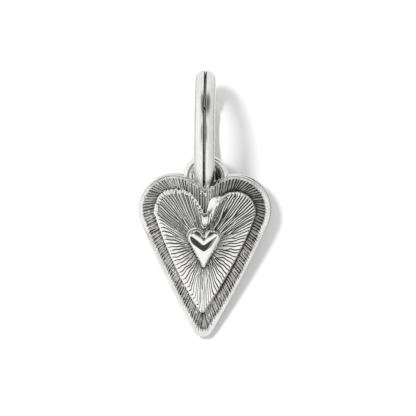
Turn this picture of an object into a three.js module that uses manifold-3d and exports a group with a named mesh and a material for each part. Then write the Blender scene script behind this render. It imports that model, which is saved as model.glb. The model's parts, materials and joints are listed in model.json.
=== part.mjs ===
// Silver heart charm: a layered heart that hangs by a fixed loop on a two-turn split ring.
// Millimetres, +Z up, the heart's face towards -Y, the ring edge-on to the front.
// The origin is the inside top of the ring, where a chain or bracelet bears.

import * as THREE from 'three';
import { mergeVertices } from 'three/addons/utils/BufferGeometryUtils.js';
import Module from 'manifold-3d';

const wasm = await Module();
wasm.setup();

// Outline of the heart body, measured from its tip upwards
const HEART_LOBE_RADIUS = 4.26;
const HEART_LOBE_X = 3.6;
const HEART_LOBE_Z = 15.4;
const HEART_NOTCH_FLANK = 1.147;
const HEART_TIP_RADIUS = 1.15;

// The two soldered plates of the body
const BACK_PLATE_THICKNESS = 0.7;
const BASE_THICKNESS = 1.08;
const PLATE_EDGE_ROUND = 0.16;
const SOLDER_SEAM = 0.02;

// The polished rim and the sunk channel inside it
const RIM_WIDTH = 0.42;
const CHANNEL_DEPTH = 0.28;
const CHANNEL_SLOPE = 0.12;

// The raised inner heart, its lobes concentric with those of the body
const CHANNEL_WIDTH = 1.8;
const TIER_NOTCH_DROP = 2.92;
const TIER_TIP_RISE = 3.1;
const TIER_TIP_RADIUS = 0.3;
const TIER_EDGE_HEIGHT = 0.55;
const TIER_EDGE_ROUND = 0.2;
const TIER_CROWN_HEIGHT = 0.95;

// The radiating flutes cut into the inner heart
const FLUTE_COUNT = 90;
const FLUTE_DEPTH = 0.07;

// The puffed heart at the centre
const CENTRE_LOBE_RADIUS = 1.0;
const CENTRE_LOBE_X = 0.96;
const CENTRE_DROP = 3.06;
const CENTRE_NOTCH_FLANK = 0.108;
const CENTRE_TIP_DROP = 3.7;
const CENTRE_TIP_RADIUS = 0.25;
const CENTRE_DOME_HEIGHT = 1.1;
const CENTRE_SPINE_DROP = 0.9;
const SEAT_MARGIN = 0.14;

// The split ring: a half-round band slit into two turns of one wire
const RING_RADIUS = 7.0;
const RING_WIDTH = 2.4;
const RING_WALL = 1.2;
const RING_SIDE_WALL = 0.05;
const RING_SLIT = 0.44;
const RING_CROSSOVER_ANGLE = 65;
const RING_CROSSOVER_HALF_SPAN = 17;
const RING_FORWARD = 2.0;

// The loop over the notch, and the play of the ring in the eye between them
const LOOP_BAND = 1.1;
const LOOP_DEPTH = 1.1;
const LOOP_SEAM = 0.05;
const EYE_PLAY = 0.2;
const EYE_SIDE_PLAY = 0.45;

// Facets
const PLATE_POINTS = 96;
const CENTRE_POINTS = 72;
const ROUND_STEPS = 3;
const CROWN_STEPS = 4;
const DOME_STEPS = 7;
const RING_STEPS_PER_TURN = 56;
const RING_CONTOUR_STEPS = 5;
const BAND_SAMPLES = 24;
const LOOP_STEPS = 26;
const LOOP_SIDES = 14;

// The gap between the turns that a wound ring keeps, and how many sections to each side it is measured over
const LEAST_TURN_GAP = 0.4;
const TURN_GAP_REACH = 3;

// Finishes: plain silver, silver darkened in its cuts, and silver polished bright
const PLAIN_SILVER = { color: 0xd2d1ce, roughness: 0.24 };
const CUT_SILVER = { color: 0xb1b0ad, roughness: 0.34 };
const BRIGHT_SILVER = { color: 0xe0dfdc, roughness: 0.12 };

// Depths, from the flat back towards the face
const bodyThickness = BACK_PLATE_THICKNESS + SOLDER_SEAM + BASE_THICKNESS;
const backY = bodyThickness / 2;
const baseBackY = backY - BACK_PLATE_THICKNESS - SOLDER_SEAM;
const faceY = baseBackY - BASE_THICKNESS;
const channelY = faceY + CHANNEL_DEPTH;
const tierBackY = channelY - SOLDER_SEAM;
const tierEdgeY = tierBackY - TIER_EDGE_HEIGHT;
const seatY = tierBackY - TIER_CROWN_HEIGHT;
const centreBackY = seatY - SOLDER_SEAM;

// A notch lies above its lobes' centres, where the straight runs that leave the two lobes meet
function notchRise(lobeRadius, lobeX, notchFlank) {
  const crossing = Math.max(lobeRadius ** 2 - lobeX ** 2, 0);
  return Math.sqrt(crossing + notchFlank ** 2);
}

const heartNotchZ = HEART_LOBE_Z + notchRise(HEART_LOBE_RADIUS, HEART_LOBE_X, HEART_NOTCH_FLANK);

// The three heart outlines
const bodyHeart = {
  lobeRadius: HEART_LOBE_RADIUS,
  lobeX: HEART_LOBE_X,
  lobeZ: HEART_LOBE_Z,
  notchZ: heartNotchZ,
  tipZ: 0,
  tipRadius: HEART_TIP_RADIUS,
};
const tierHeart = {
  lobeRadius: HEART_LOBE_RADIUS - CHANNEL_WIDTH,
  lobeX: HEART_LOBE_X,
  lobeZ: HEART_LOBE_Z,
  notchZ: heartNotchZ - TIER_NOTCH_DROP,
  tipZ: TIER_TIP_RISE,
  tipRadius: TIER_TIP_RADIUS,
};
const centreLobeZ = HEART_LOBE_Z - CENTRE_DROP;
const centreHeart = {
  lobeRadius: CENTRE_LOBE_RADIUS,
  lobeX: CENTRE_LOBE_X,
  lobeZ: centreLobeZ,
  notchZ: centreLobeZ + notchRise(CENTRE_LOBE_RADIUS, CENTRE_LOBE_X, CENTRE_NOTCH_FLANK),
  tipZ: centreLobeZ - CENTRE_TIP_DROP,
  tipRadius: CENTRE_TIP_RADIUS,
};

// The angles, seen from a lobe's centre, where its arc meets the flank and the notch line
function tangentAngles(heart) {
  const tip = new THREE.Vector2(0, heart.tipZ + heart.tipRadius);
  const lobe = new THREE.Vector2(heart.lobeX, heart.lobeZ);
  const toTip = tip.clone().sub(lobe);
  const toNotch = new THREE.Vector2(0, heart.notchZ).sub(lobe);
  const flankTurn = Math.acos((heart.lobeRadius - heart.tipRadius) / toTip.length());
  const notchTurn = Math.acos(heart.lobeRadius / toNotch.length());
  return {
    flank: Math.atan2(toTip.y, toTip.x) + flankTurn,
    notch: Math.atan2(toNotch.y, toNotch.x) - notchTurn + (toNotch.y < 0 ? 2 * Math.PI : 0),
  };
}

// A heart of two lobe arcs, straight flanks, a round tip and a straight-sided notch
function heartShape(heart) {
  const { flank, notch } = tangentAngles(heart);
  const tipCentreZ = heart.tipZ + heart.tipRadius;
  const shape = new THREE.Shape();
  shape.moveTo(0, heart.notchZ);
  shape.lineTo(
    -heart.lobeX - heart.lobeRadius * Math.cos(notch),
    heart.lobeZ + heart.lobeRadius * Math.sin(notch),
  );
  shape.absarc(-heart.lobeX, heart.lobeZ, heart.lobeRadius, Math.PI - notch, Math.PI - flank, false);
  shape.absarc(0, tipCentreZ, heart.tipRadius, -Math.PI - flank, flank, false);
  shape.absarc(heart.lobeX, heart.lobeZ, heart.lobeRadius, flank, notch, false);
  shape.closePath();
  return shape;
}

// The same heart with every edge moved inwards by one distance
function inset(heart, distance) {
  const notchSlope = tangentAngles(heart).notch - Math.PI / 2;
  return {
    ...heart,
    lobeRadius: heart.lobeRadius - distance,
    notchZ: heart.notchZ - distance / Math.cos(notchSlope),
    tipZ: heart.tipZ + distance,
    tipRadius: heart.tipRadius - distance,
  };
}

// Evenly spaced outline points, from the notch round the left lobe and the tip
function outline(heart, count) {
  return heartShape(heart).getSpacedPoints(count).slice(0, count);
}

// A ring of a loft: outline points laid at one depth
function heartRing(flat, y) {
  return flat.map((p) => new THREE.Vector3(p.x, y, p.y));
}

// The middle of a ring's points, from which a cap fans out
function middle(ring) {
  const sum = ring.reduce((total, p) => total.add(p), new THREE.Vector3());
  return sum.divideScalar(ring.length);
}

// A closed skin through rings of equally many points, capped at both ends.
// Seen from the side that the loft runs towards, each ring turns anticlockwise.
function loft(rings) {
  const count = rings[0].length;
  const last = (rings.length - 1) * count;
  const startMiddle = last + count;
  const endMiddle = startMiddle + 1;
  const points = [...rings.flat(), middle(rings[0]), middle(rings[rings.length - 1])];
  const triangles = [];
  for (let i = 0; i < count; i += 1) {
    const next = (i + 1) % count;
    for (let start = 0; start < last; start += count) {
      const a = start + i;
      const b = start + next;
      triangles.push(a, b, a + count, b, b + count, a + count);
    }
    triangles.push(startMiddle, next, i);
    triangles.push(endMiddle, last + i, last + next);
  }
  const geometry = new THREE.BufferGeometry();
  geometry.setFromPoints(points);
  geometry.setIndex(triangles);
  geometry.computeVertexNormals();
  return geometry;
}

// Rings that carry a heart outline round a quarter-round edge, from the wall to the flat.
// The flat faces +Y or -Y, which its facing says with +1 or -1.
function edgeRound(heart, flatY, facing, radius, count) {
  return Array.from({ length: ROUND_STEPS + 1 }, (_, step) => {
    const angle = (step / ROUND_STEPS) * (Math.PI / 2);
    const inwards = radius * (1 - Math.cos(angle));
    const below = radius * (1 - Math.sin(angle));
    return heartRing(outline(inset(heart, inwards), count), flatY - facing * below);
  });
}

// Back plate: plain, flat behind, with softened edges
function backPlate() {
  const back = edgeRound(bodyHeart, backY, 1, PLATE_EDGE_ROUND, PLATE_POINTS).reverse();
  const front = edgeRound(bodyHeart, baseBackY + SOLDER_SEAM, -1, PLATE_EDGE_ROUND, PLATE_POINTS);
  return loft([...back, ...front]);
}

// Front plate: a polished rim round a sunk channel whose floor carries the inner heart
function heartBase() {
  const back = edgeRound(bodyHeart, baseBackY, 1, PLATE_EDGE_ROUND, PLATE_POINTS).reverse();
  const front = edgeRound(bodyHeart, faceY, -1, PLATE_EDGE_ROUND, PLATE_POINTS);
  const rimInside = heartRing(outline(inset(bodyHeart, RIM_WIDTH), PLATE_POINTS), faceY);
  const floorHeart = inset(bodyHeart, RIM_WIDTH + CHANNEL_SLOPE);
  const floor = heartRing(outline(floorHeart, PLATE_POINTS), channelY);
  return loft([...back, ...front, rimInside, floor]);
}

// Inner heart: crowned from its rounded edge up to the seat of the centre heart.
// Every second line from edge to seat lies lower, which makes the radiating flutes.
function innerHeart() {
  const count = 2 * FLUTE_COUNT;
  const wall = heartRing(outline(tierHeart, count), tierBackY);
  const shoulder = edgeRound(tierHeart, tierEdgeY, -1, TIER_EDGE_ROUND, count);
  const edge = outline(inset(tierHeart, TIER_EDGE_ROUND), count);
  const seat = outline(inset(centreHeart, -SEAT_MARGIN), count);
  const crown = Array.from({ length: CROWN_STEPS - 1 }, (_, k) => {
    const along = (k + 1) / CROWN_STEPS;
    const lift = Math.sin(along * (Math.PI / 2));
    const flat = edge.map((p, i) => p.clone().lerp(seat[i], along));
    const ring = heartRing(flat, THREE.MathUtils.lerp(tierEdgeY, seatY, lift));
    ring.forEach((p, i) => {
      p.y += (i % 2) * FLUTE_DEPTH;
    });
    return ring;
  });
  return loft([wall, ...shoulder, ...crown, heartRing(seat, seatY)]);
}

// Centre heart: a plump dome that draws in towards its spine
function centrePuff() {
  const rim = outline(centreHeart, CENTRE_POINTS);
  const spine = new THREE.Vector2(0, centreLobeZ - CENTRE_SPINE_DROP);
  const rings = Array.from({ length: DOME_STEPS }, (_, k) => {
    const rise = (k / DOME_STEPS) * (Math.PI / 2);
    const flat = rim.map((p) => p.clone().lerp(spine, 1 - Math.cos(rise)));
    return heartRing(flat, centreBackY - CENTRE_DOME_HEIGHT * Math.sin(rise));
  });
  return loft(rings);
}

// Outside of the half-round band at a distance from its middle plane
const ringInside = RING_RADIUS - RING_WALL;
function bandRadius(x) {
  const share = Math.min(1, Math.abs(x) / (RING_WIDTH / 2));
  return ringInside + RING_SIDE_WALL + (RING_WALL - RING_SIDE_WALL) * Math.sqrt(1 - share ** 2);
}

// Top of the heart's wall beside the notch: the straight side first, then the lobe
function shoulderZ(x) {
  const { notch } = tangentAngles(bodyHeart);
  const tangentX = HEART_LOBE_X + HEART_LOBE_RADIUS * Math.cos(notch);
  if (x < tangentX) {
    return heartNotchZ + x * Math.tan(notch - Math.PI / 2);
  }
  return HEART_LOBE_Z + Math.sqrt(HEART_LOBE_RADIUS ** 2 - (HEART_LOBE_X - x) ** 2);
}

// Where the ring stands: in front of the heart's middle, with play above the notch at the face
const ringY = -RING_FORWARD;
const faceReach = faceY - ringY;
const ringHeights = Array.from({ length: BAND_SAMPLES + 1 }, (_, i) => {
  const x = (i / BAND_SAMPLES) * (RING_WIDTH / 2);
  return shoulderZ(x) + Math.sqrt(bandRadius(x) ** 2 - faceReach ** 2);
});
const ringZ = Math.max(...ringHeights) + EYE_PLAY;

// The two sides of the wire after a turning angle, from the first end to the second.
// The wire crosses from the left half of the band to the right half at the end of turn one,
// and both ends are cut slantwise to follow that crossing.
function wireSides(turned) {
  const halfSpan = THREE.MathUtils.degToRad(RING_CROSSOVER_HALF_SPAN);
  const turn = 2 * Math.PI;
  const edge = RING_WIDTH / 2;
  const slitSide = RING_SLIT / 2;
  const crossing = (angle) => {
    const share = THREE.MathUtils.smoothstep(angle, turn - halfSpan, turn + halfSpan);
    return {
      left: THREE.MathUtils.lerp(-edge, slitSide, share),
      right: THREE.MathUtils.lerp(-slitSide, edge, share),
    };
  };
  const sides = crossing(turned);
  const firstEndLimit = turned < turn - halfSpan ? crossing(turned + turn).left - RING_SLIT : edge;
  const secondEndLimit = turned > turn + halfSpan ? crossing(turned - turn).right + RING_SLIT : -edge;
  return {
    left: Math.max(sides.left, secondEndLimit),
    right: Math.min(sides.right, firstEndLimit),
  };
}

// One cross-section of the wire: over the round outside and back along the flat inside
function wireRing(turned) {
  const { left, right } = wireSides(turned);
  const angle = THREE.MathUtils.degToRad(RING_CROSSOVER_ANGLE) + turned;
  const section = [];
  for (let i = 0; i <= RING_CONTOUR_STEPS; i += 1) {
    const x = THREE.MathUtils.lerp(left, right, i / RING_CONTOUR_STEPS);
    section.push(new THREE.Vector2(x, bandRadius(x)));
  }
  section.push(new THREE.Vector2(right, ringInside), new THREE.Vector2(left, ringInside));
  return section.map((p) => {
    const y = ringY + p.y * Math.sin(angle);
    const z = ringZ + p.y * Math.cos(angle);
    return new THREE.Vector3(p.x, y, z);
  });
}

// Split ring: one unbroken wire of two turns
function splitRing() {
  const steps = 2 * RING_STEPS_PER_TURN;
  const rings = Array.from({ length: steps + 1 }, (_, k) => {
    const turns = k / RING_STEPS_PER_TURN;
    return wireRing(turns * 2 * Math.PI);
  });
  const gap = turnGap(rings).toFixed(3);
  console.log(`split_ring: least gap between its turns ${gap} mm, wanted over ${LEAST_TURN_GAP} mm`);
  return loft(rings);
}

// Least distance between points of the first turn and points of the second beside them
function turnGap(rings) {
  let least = Infinity;
  for (let k = 0; k < RING_STEPS_PER_TURN; k += 1) {
    const facing = k + RING_STEPS_PER_TURN;
    const from = facing - TURN_GAP_REACH;
    const to = Math.min(facing + TURN_GAP_REACH, rings.length - 1);
    for (let m = from; m <= to; m += 1) {
      for (const p of rings[k]) {
        for (const q of rings[m]) {
          least = Math.min(least, p.distanceTo(q));
        }
      }
    }
  }
  return least;
}

// Middle line of the loop: a half circle over the ring, with legs that run down into the lobes
const loopInside = RING_WIDTH / 2 + EYE_SIDE_PLAY;
const loopRadius = loopInside + LOOP_BAND / 2;
const loopReach = LOOP_DEPTH / 2 - ringY;
const wireTopZ = ringZ - Math.sqrt(ringInside ** 2 - loopReach ** 2);
const loopShoulder = Math.sqrt(loopInside ** 2 - (RING_WIDTH / 2) ** 2);
const loopCentreZ = wireTopZ + EYE_PLAY - loopShoulder;

class LoopPath extends THREE.Curve {
  getPoint(share, target = new THREE.Vector3()) {
    const leg = loopCentreZ - HEART_LOBE_Z;
    const arc = Math.PI * loopRadius;
    const along = share * (2 * leg + arc);
    if (along < leg) {
      return target.set(loopRadius, 0, HEART_LOBE_Z + along);
    }
    if (along > leg + arc) {
      return target.set(-loopRadius, 0, loopCentreZ - (along - leg - arc));
    }
    const angle = (along - leg) / loopRadius;
    return target.set(loopRadius * Math.cos(angle), 0, loopCentreZ + loopRadius * Math.sin(angle));
  }
}

// A closed mesh as a solid that can be cut
function toSolid(geometry) {
  const bare = geometry.clone();
  bare.deleteAttribute('normal');
  bare.deleteAttribute('uv');
  const merged = mergeVertices(bare);
  return new wasm.Manifold(
    new wasm.Mesh({
      numProp: 3,
      vertProperties: new Float32Array(merged.attributes.position.array),
      triVerts: new Uint32Array(merged.index.array),
    }),
  );
}

// A cut solid as a mesh again
function toGeometry(solid) {
  const mesh = solid.getMesh();
  const geometry = new THREE.BufferGeometry();
  const positions = new THREE.Float32BufferAttribute(mesh.vertProperties, mesh.numProp);
  geometry.setAttribute('position', positions);
  geometry.setIndex(Array.from(mesh.triVerts));
  geometry.computeVertexNormals();
  return geometry;
}

// Bail loop: an oval wire bent over the notch, its feet cut to sit on the two lobes
function bailLoop() {
  const section = new THREE.Shape();
  section.absellipse(0, 0, LOOP_DEPTH / 2, LOOP_BAND / 2, 0, 2 * Math.PI, false);
  const wire = new THREE.ExtrudeGeometry(section, {
    steps: LOOP_STEPS,
    curveSegments: LOOP_SIDES,
    extrudePath: new LoopPath(),
  });
  const lobes = outline(inset(bodyHeart, -LOOP_SEAM), PLATE_POINTS);
  const cutter = loft([heartRing(lobes, LOOP_DEPTH), heartRing(lobes, -LOOP_DEPTH)]);
  return toGeometry(toSolid(wire).subtract(toSolid(cutter)));
}

// A named piece in one of the finishes
function part(name, geometry, finish) {
  const material = new THREE.MeshStandardMaterial({ ...finish, metalness: 1 });
  const mesh = new THREE.Mesh(geometry, material);
  mesh.name = name;
  return mesh;
}

const heart = new THREE.Group();
heart.add(
  part('back_plate', backPlate(), PLAIN_SILVER),
  part('heart_base', heartBase(), CUT_SILVER),
  part('inner_heart', innerHeart(), CUT_SILVER),
  part('centre_heart', centrePuff(), BRIGHT_SILVER),
  part('bail_loop', bailLoop(), PLAIN_SILVER),
);

const charm = new THREE.Group();
charm.add(heart, part('split_ring', splitRing(), BRIGHT_SILVER));
charm.position.set(0, -ringY, -(ringZ + ringInside));

export default charm;
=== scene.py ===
# %% [markdown]
# # A silver heart charm
# The charm is a small cast heart with a radiating pattern, a puffed heart at its centre and a fixed loop
# over its notch, and it hangs on a split ring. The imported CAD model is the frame: it says where every
# piece is, and this lesson replaces each plain solid by a finely modelled one in the same place.

import cmath
import json
import math
from collections import namedtuple

import bmesh
import bpy
import numpy as np
from mathutils import Matrix, Quaternion, Vector


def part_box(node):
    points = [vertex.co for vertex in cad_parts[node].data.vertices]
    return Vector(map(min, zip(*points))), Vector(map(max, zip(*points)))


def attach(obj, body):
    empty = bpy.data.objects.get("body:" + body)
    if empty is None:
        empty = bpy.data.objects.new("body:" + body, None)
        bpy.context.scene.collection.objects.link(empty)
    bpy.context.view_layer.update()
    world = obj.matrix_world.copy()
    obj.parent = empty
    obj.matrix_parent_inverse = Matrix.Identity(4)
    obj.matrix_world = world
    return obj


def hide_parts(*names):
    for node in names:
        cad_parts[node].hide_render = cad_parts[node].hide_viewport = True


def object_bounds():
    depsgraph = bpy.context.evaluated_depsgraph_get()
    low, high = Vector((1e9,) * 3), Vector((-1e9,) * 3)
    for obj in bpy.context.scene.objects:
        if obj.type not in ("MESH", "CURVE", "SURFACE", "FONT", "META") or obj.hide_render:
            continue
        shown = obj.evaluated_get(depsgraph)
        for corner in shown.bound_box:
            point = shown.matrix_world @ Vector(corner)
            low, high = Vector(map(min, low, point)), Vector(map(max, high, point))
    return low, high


MM = 0.001


def in_mm(box):
    """A box's corners in millimetres, for printing."""
    return [[round(c / MM, 2) for c in corner] for corner in box]


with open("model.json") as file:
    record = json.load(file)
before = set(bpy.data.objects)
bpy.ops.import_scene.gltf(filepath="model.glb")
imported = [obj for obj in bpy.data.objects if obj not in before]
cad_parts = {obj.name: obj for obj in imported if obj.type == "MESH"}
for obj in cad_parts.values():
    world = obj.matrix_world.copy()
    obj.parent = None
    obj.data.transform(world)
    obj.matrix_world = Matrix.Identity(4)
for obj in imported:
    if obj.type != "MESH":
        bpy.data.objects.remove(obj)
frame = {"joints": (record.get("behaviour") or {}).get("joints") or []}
cad_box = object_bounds()
print("CAD box in mm:", in_mm(cad_box))

# %% [markdown]
# ## A bench for the heart
# Jewellery is easiest to think of in millimetres. So the heart's pieces are shaped on a bench of their own:
# X runs to the right, Z runs up from the tip, and Y is 0 at the polished rim and grows towards the back.
# The frame says where that bench stands, and one transform puts each finished mesh there, in metres. The
# inner heart is called the tier here, for short, because it is the next step up from the base.

# %% The bench
FRONT, BACK = 0, 1
base_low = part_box("heart_base")[0]
bench_place = Vector((0.0, base_low.y, base_low.z))


def depth_of(node, side):
    """Bench depth, in millimetres, of a CAD node's front or back."""
    return (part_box(node)[side].y - base_low.y) / MM


base_back = depth_of("heart_base", BACK)
plate_front = depth_of("back_plate", FRONT)
plate_back = depth_of("back_plate", BACK)
tier_back = depth_of("inner_heart", BACK)
seat_depth = depth_of("inner_heart", FRONT)
centre_back = depth_of("centre_heart", BACK)
centre_top = depth_of("centre_heart", FRONT)
print("depths in mm:", [round(depth, 2) for depth in (seat_depth, tier_back, base_back, plate_back)])

# %% [markdown]
# ## The outline of a heart
# All the hearts of this charm are drawn in one way: a straight run out of the notch, a round lobe, a flank
# that bellies out a little and a small round tip, and the same again mirrored. A point is asked for by its
# share of the way round, clockwise from the notch, so that points of two hearts with the same share lie
# opposite each other. The cut lines of the pattern run along such pairs.

# %% Hearts
Heart = namedtuple("Heart", "lobe_radius lobe_x lobe_z notch_z tip_z tip_radius belly")
body_heart = Heart(
    lobe_radius=4.26, lobe_x=3.6, lobe_z=15.4, notch_z=17.95, tip_z=0.0, tip_radius=1.15, belly=0.2
)
tier_heart = Heart(
    lobe_radius=2.46, lobe_x=3.6, lobe_z=15.4, notch_z=15.03, tip_z=2.95, tip_radius=0.3, belly=0.36
)
centre_heart = Heart(
    lobe_radius=1.0, lobe_x=0.96, lobe_z=12.34, notch_z=12.64, tip_z=8.64, tip_radius=0.25, belly=0.0
)
hearts = {"body": body_heart, "tier": tier_heart, "centre": centre_heart}
print("tips in mm above the bench's foot:", {title: heart.tip_z for title, heart in hearts.items()})


# %% Stretches of an outline
def tangent_angles(heart):
    """Where the right lobe's arc meets the run out of the notch and the flank."""
    tip_rise = heart.tip_z + heart.tip_radius - heart.lobe_z
    notch_rise = heart.notch_z - heart.lobe_z
    to_tip = math.hypot(heart.lobe_x, tip_rise)
    to_notch = math.hypot(heart.lobe_x, notch_rise)
    flank = math.atan2(tip_rise, -heart.lobe_x) + math.acos((heart.lobe_radius - heart.tip_radius) / to_tip)
    notch = math.atan2(notch_rise, -heart.lobe_x) % math.tau - math.acos(heart.lobe_radius / to_notch)
    return notch, flank


def inset(heart, distance):
    """The same heart with every edge moved inwards."""
    notch, _ = tangent_angles(heart)
    return heart._replace(
        lobe_radius=heart.lobe_radius - distance,
        notch_z=heart.notch_z - distance / math.cos(notch - math.pi / 2),
        tip_z=heart.tip_z + distance,
        tip_radius=heart.tip_radius - distance,
    )


def half_stretches(heart):
    """Lengths of the four stretches of half an outline: run, lobe, flank and tip."""
    notch, flank = tangent_angles(heart)
    to_notch = math.hypot(heart.lobe_x, heart.notch_z - heart.lobe_z)
    to_tip = math.hypot(heart.lobe_x, heart.tip_z + heart.tip_radius - heart.lobe_z)
    run = math.sqrt(to_notch ** 2 - heart.lobe_radius ** 2)
    lobe = heart.lobe_radius * (notch - flank)
    side = math.sqrt(to_tip ** 2 - (heart.lobe_radius - heart.tip_radius) ** 2)
    tip = heart.tip_radius * (flank + math.pi / 2)
    return np.array([run, lobe, side, tip])


for title, heart in hearts.items():
    print(title, "outline is", round(2 * half_stretches(heart).sum(), 2), "mm round")

# %% Points of an outline
BELLY_ROUND = 0.7
TINY = 1e-6


def heart_points(heart, shares):
    """Bench X and Z of the outline at these shares of the way round, clockwise from the notch."""
    notch, flank = tangent_angles(heart)
    _, lobe_length, flank_length, _ = half_stretches(heart)
    run_end, lobe_end, flank_end, half_length = np.cumsum(half_stretches(heart))
    way = np.where(shares > 0.5, 1 - shares, shares) * 2 * half_length
    lobe_angle = notch - np.clip(way - run_end, 0, lobe_length) / heart.lobe_radius
    x = heart.lobe_x + heart.lobe_radius * np.cos(lobe_angle)
    z = heart.lobe_z + heart.lobe_radius * np.sin(lobe_angle)
    back_to_notch = np.clip(run_end - way, 0, None)
    x = x - back_to_notch * math.sin(notch)
    z = z + back_to_notch * math.cos(notch)
    down_flank = np.clip(way - lobe_end, 0, flank_length)
    x = x + down_flank * math.sin(flank)
    z = z - down_flank * math.cos(flank)
    swell = heart.belly * np.sin(math.pi * down_flank / flank_length) ** BELLY_ROUND
    x = x + swell * math.cos(flank)
    z = z + swell * math.sin(flank)
    tip_angle = flank - np.clip(way - flank_end, 0, None) / max(heart.tip_radius, TINY)
    x = x + heart.tip_radius * (np.cos(tip_angle) - math.cos(flank))
    z = z + heart.tip_radius * (np.sin(tip_angle) - math.sin(flank))
    return np.where(shares > 0.5, -x, x), z


HALF_SAMPLES = np.linspace(0.0, 0.5, 200)
for title, heart in hearts.items():
    print(title, "is", round(2 * float(heart_points(heart, HALF_SAMPLES)[0].max()), 2), "mm wide")


# %% Landmarks of an outline
def landmarks(heart):
    """Shares of the notch, the top of the lobe, both ends of the flank and the tip."""
    notch, _ = tangent_angles(heart)
    run_end, lobe_end, flank_end, half_length = np.cumsum(half_stretches(heart))
    lobe_top = run_end + heart.lobe_radius * (notch - math.pi / 2)
    return np.array([0.0, lobe_top, lobe_end, flank_end, half_length]) / (2 * half_length)


for title, heart in hearts.items():
    print(title, "landmarks:", landmarks(heart).round(3).tolist())

# %% [markdown]
# ## Node helpers
# A material is a tree of nodes, and each node takes a few lines to add, set and link. Small functions keep
# the cells short: one adds any node, four add the nodes that come up most, and two start a group or a
# material. A number or a colour is set on its socket, and only what changes over the surface is linked.

# %% Node helpers
def socket_of(node, key):
    """An input by its name, with _ for a space, or by its number, such as i0."""
    if key[0] == "i" and key[1:].isdigit():
        return node.inputs[int(key[1:])]
    return node.inputs[key.replace("_", " ")]


def add_node(tree, kind, settings=None, **sockets):
    """Add a node. Settings are its own options, sockets are input values or output sockets to link."""
    node = tree.nodes.new(kind)
    for key, value in (settings or {}).items():
        setattr(node, key, value)
    for key, value in sockets.items():
        if isinstance(value, bpy.types.NodeSocket):
            tree.links.new(value, socket_of(node, key))
        else:
            socket_of(node, key).default_value = value
    return node


# %% Nodes that come up most
def multiply(tree, first, second):
    """The product of two values."""
    return add_node(tree, "ShaderNodeMath", {"operation": "MULTIPLY"}, i0=first, i1=second).outputs[0]


def multiply_add(tree, value, factor, addend):
    """A value times a factor, plus an addend."""
    settings = {"operation": "MULTIPLY_ADD"}
    return add_node(tree, "ShaderNodeMath", settings, i0=value, i1=factor, i2=addend).outputs[0]


def ramp(tree, value, low, high, at_low=0.0, at_high=1.0, curve="LINEAR"):
    """A value that goes from one level to another between two borders."""
    settings = {"interpolation_type": curve}
    levels = {"i1": low, "i2": high, "i3": at_low, "i4": at_high}
    return add_node(tree, "ShaderNodeMapRange", settings, Value=value, **levels).outputs["Result"]


def mix_colours(tree, share, first, second, blend="MIX"):
    """The first colour where the share is 0, and the second laid on it where the share is 1."""
    settings = {"data_type": "RGBA", "blend_type": blend}
    return add_node(tree, "ShaderNodeMix", settings, i0=share, i6=first, i7=second).outputs[2]


# %% Groups and materials
VECTOR = "NodeSocketVector"
VALUE = "NodeSocketFloat"


def new_group(name, inputs, outputs):
    """A shader node group with named sockets, and its input and output nodes."""
    tree = bpy.data.node_groups.new(name, "ShaderNodeTree")
    for label, kind in inputs:
        tree.interface.new_socket(label, in_out="INPUT", socket_type=kind)
    for label, kind in outputs:
        tree.interface.new_socket(label, in_out="OUTPUT", socket_type=kind)
    return tree, tree.nodes.new("NodeGroupInput"), tree.nodes.new("NodeGroupOutput")


def new_material(name):
    """A material with one Principled BSDF, and its tree."""
    material = bpy.data.materials.new(name)
    material.use_nodes = True
    return material, material.node_tree, material.node_tree.nodes["Principled BSDF"]


# %% [markdown]
# ## Marks that polishing leaves
# Silver that has been worn is never a perfect mirror: it has hairlines from polishing, and a faint haze that
# comes and goes. Both are noise at very different scales, one stretched along a direction. All the silver
# finishes use them, each with its own values, so they are a node group.

# %% Polish marks group
HAIR_STRETCH = (1.0, 0.6, 0.06)
HAZE_FROM, HAZE_FULL = 0.38, 0.68
marks, marks_in, marks_out = new_group(
    "polish_marks",
    [("Coordinates", VECTOR), ("Hairline Scale", VALUE), ("Haze Scale", VALUE)],
    [("Hairlines", VALUE), ("Haze", VALUE)],
)
stretched = add_node(marks, "ShaderNodeMapping", Vector=marks_in.outputs["Coordinates"], Scale=HAIR_STRETCH)
hair = add_node(
    marks, "ShaderNodeTexNoise",
    Vector=stretched.outputs[0], Scale=marks_in.outputs["Hairline Scale"], Detail=2.0,
)
cloud = add_node(
    marks, "ShaderNodeTexNoise",
    Vector=marks_in.outputs["Coordinates"], Scale=marks_in.outputs["Haze Scale"], Detail=3.0, Roughness=0.6,
)
haze = ramp(marks, cloud.outputs["Fac"], HAZE_FROM, HAZE_FULL)
marks.links.new(hair.outputs["Fac"], marks_out.inputs["Hairlines"])
marks.links.new(haze, marks_out.inputs["Haze"])
print("group", marks.name, "has", len(marks.nodes), "nodes")

# %% [markdown]
# ## The oxide in the cuts, and painted shade
# The maker darkens the whole face, then polishes it: the oxide stays in the cuts and goes from the ridges.
# A painted texture would have to be lined up with the cuts. The meshes already say how dark each point is,
# so the mask is that value, broken up a little by noise. The same mask also carries painted shade and
# painted shadow, where a mesh marks them.

# %% Group for oxide and painted shade
GRAIN_LEAST, GRAIN_RANGE = 0.7, 0.6
oxide, oxide_in, oxide_out = new_group(
    "oxide_and_painted_shade",
    [("Coordinates", VECTOR), ("Cut", VALUE), ("Shallow", VALUE), ("Deep", VALUE), ("Grain Scale", VALUE)],
    [("Oxide And Shade", VALUE)],
)
grain = add_node(
    oxide, "ShaderNodeTexNoise",
    Vector=oxide_in.outputs["Coordinates"], Scale=oxide_in.outputs["Grain Scale"], Detail=2.0,
)
uneven = multiply_add(oxide, grain.outputs["Fac"], GRAIN_RANGE, GRAIN_LEAST)
broken = multiply(oxide, oxide_in.outputs["Cut"], uneven)
mask = ramp(oxide, broken, oxide_in.outputs["Shallow"], oxide_in.outputs["Deep"], curve="SMOOTHSTEP")
oxide.links.new(mask, oxide_out.inputs["Oxide And Shade"])
print("group", oxide.name, "has", len(oxide.nodes), "nodes")
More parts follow.
